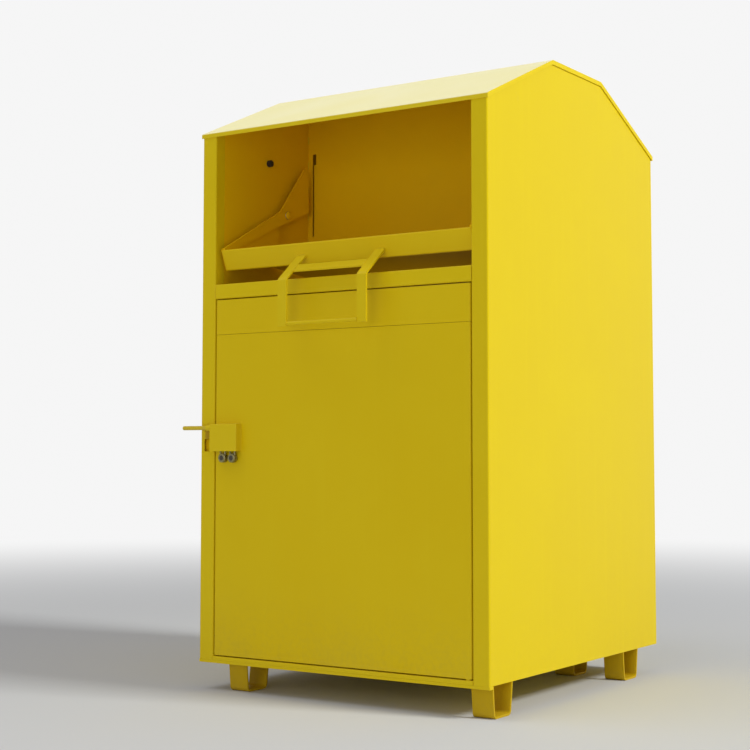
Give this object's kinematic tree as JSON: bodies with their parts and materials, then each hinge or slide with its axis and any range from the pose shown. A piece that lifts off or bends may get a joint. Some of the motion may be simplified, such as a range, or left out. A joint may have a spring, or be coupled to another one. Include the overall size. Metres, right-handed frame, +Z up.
{
  "type": "clothing donation bin",
  "caption": "Steel clothing donation bin: pitched roof, tipping chute hopper with pull handle, hinged collection door with sliding lock bar and padlocks, strap feet.",
  "frame": {"origin": "middle of the footprint at ground level", "axes": "+Z up, +X towards the door's hinge side, -Y out of the chute's front"},
  "size_m": [1.192, 1.308, 2.069],
  "materials": {
    "cabinet_paint": "satin",
    "roof_paint": "satin",
    "chute_paint": "satin",
    "door_paint": "satin",
    "zinc_steel": "satin",
    "padlock_steel": "polished",
    "lock_core": "satin",
    "black_rubber": "matt"
  },
  "bodies": {
    "cabinet": {"side_panel_left": "cabinet_paint", "side_panel_right": "cabinet_paint", "back_panel": "cabinet_paint", "floor_pan": "cabinet_paint", "bearer_left": "cabinet_paint", "bearer_right": "cabinet_paint", "bearer_inner": "cabinet_paint", "roof_panel": "roof_paint", "header_channel": "cabinet_paint", "transom_panel": "cabinet_paint", "transom_cleat": "cabinet_paint", "cheek_left": "chute_paint", "cheek_right": "chute_paint", "chute_baffle": "chute_paint", "cheek_plug_left": "black_rubber", "cheek_plug_right": "black_rubber", "hopper_stop_left": "black_rubber", "hopper_stop_right": "black_rubber", "pivot_stud_left": "zinc_steel", "pivot_stud_right": "zinc_steel", "door_stop_side": "cabinet_paint", "door_stop_top": "cabinet_paint", "door_stop_low": "cabinet_paint", "door_pin_top": "zinc_steel", "door_pin_low": "zinc_steel", "door_washer": "zinc_steel", "leg_front_left": "cabinet_paint", "leg_front_right": "cabinet_paint", "leg_rear_left": "cabinet_paint", "leg_rear_right": "cabinet_paint", "leg_rear_inner": "cabinet_paint", "bar_guide": "cabinet_paint"},
    "hopper": {"hopper_tray": "chute_paint", "hopper_side_left": "chute_paint", "hopper_side_right": "chute_paint", "hopper_arm_left": "chute_paint", "hopper_arm_right": "chute_paint", "hopper_bush_left": "zinc_steel", "hopper_bush_right": "zinc_steel", "handle_bar_left": "chute_paint", "handle_bar_right": "chute_paint", "handle_crossbar": "chute_paint", "handle_grip": "chute_paint"},
    "door": {"door_skin": "door_paint", "door_brace_low": "door_paint", "door_brace_mid": "door_paint", "door_brace_top": "door_paint", "door_lug_top": "door_paint", "door_lug_low": "door_paint", "lock_hood": "door_paint", "staple_left": "zinc_steel", "staple_right": "zinc_steel"},
    "lock_bar": {"lock_bar": "zinc_steel"},
    "shackle_left": {"padlock_left_shackle": "padlock_steel"},
    "padlock_left": {"padlock_left_body": "padlock_steel", "padlock_left_core": "lock_core"},
    "shackle_right": {"padlock_right_shackle": "padlock_steel"},
    "padlock_right": {"padlock_right_body": "padlock_steel", "padlock_right_core": "lock_core"}
  },
  "joints": [
    {"name": "hopper_tip", "type": "hinge", "parent": "cabinet", "child": "hopper", "pos_m": [0.033, -0.2025, 1.637], "axis": [-1, 0, 0], "range_deg": [0, 58]},
    {"name": "door_swing", "type": "hinge", "parent": "cabinet", "child": "door", "pos_m": [0.515, -0.56, 0.65], "axis": [0, 0, 1], "range_deg": [0, 110]},
    {"name": "bar_slide", "type": "slide", "parent": "cabinet", "child": "lock_bar", "axis": [1, 0, 0], "range_m": [0, 0.097]},
    {"name": "padlock_left_swing", "type": "hinge", "parent": "door", "child": "shackle_left", "pos_m": [-0.421, -0.5815, 0.818], "axis": [-1, 0, 0], "range_deg": [0, 10]},
    {"name": "padlock_left_release", "type": "slide", "parent": "shackle_left", "child": "padlock_left", "axis": [0, 0, -1], "range_m": [0, 0.008]},
    {"name": "padlock_right_swing", "type": "hinge", "parent": "door", "child": "shackle_right", "pos_m": [-0.38, -0.5815, 0.818], "axis": [-1, 0, 0], "range_deg": [0, 10]},
    {"name": "padlock_right_release", "type": "slide", "parent": "shackle_right", "child": "padlock_right", "axis": [0, 0, -1], "range_m": [0, 0.008]}
  ]
}
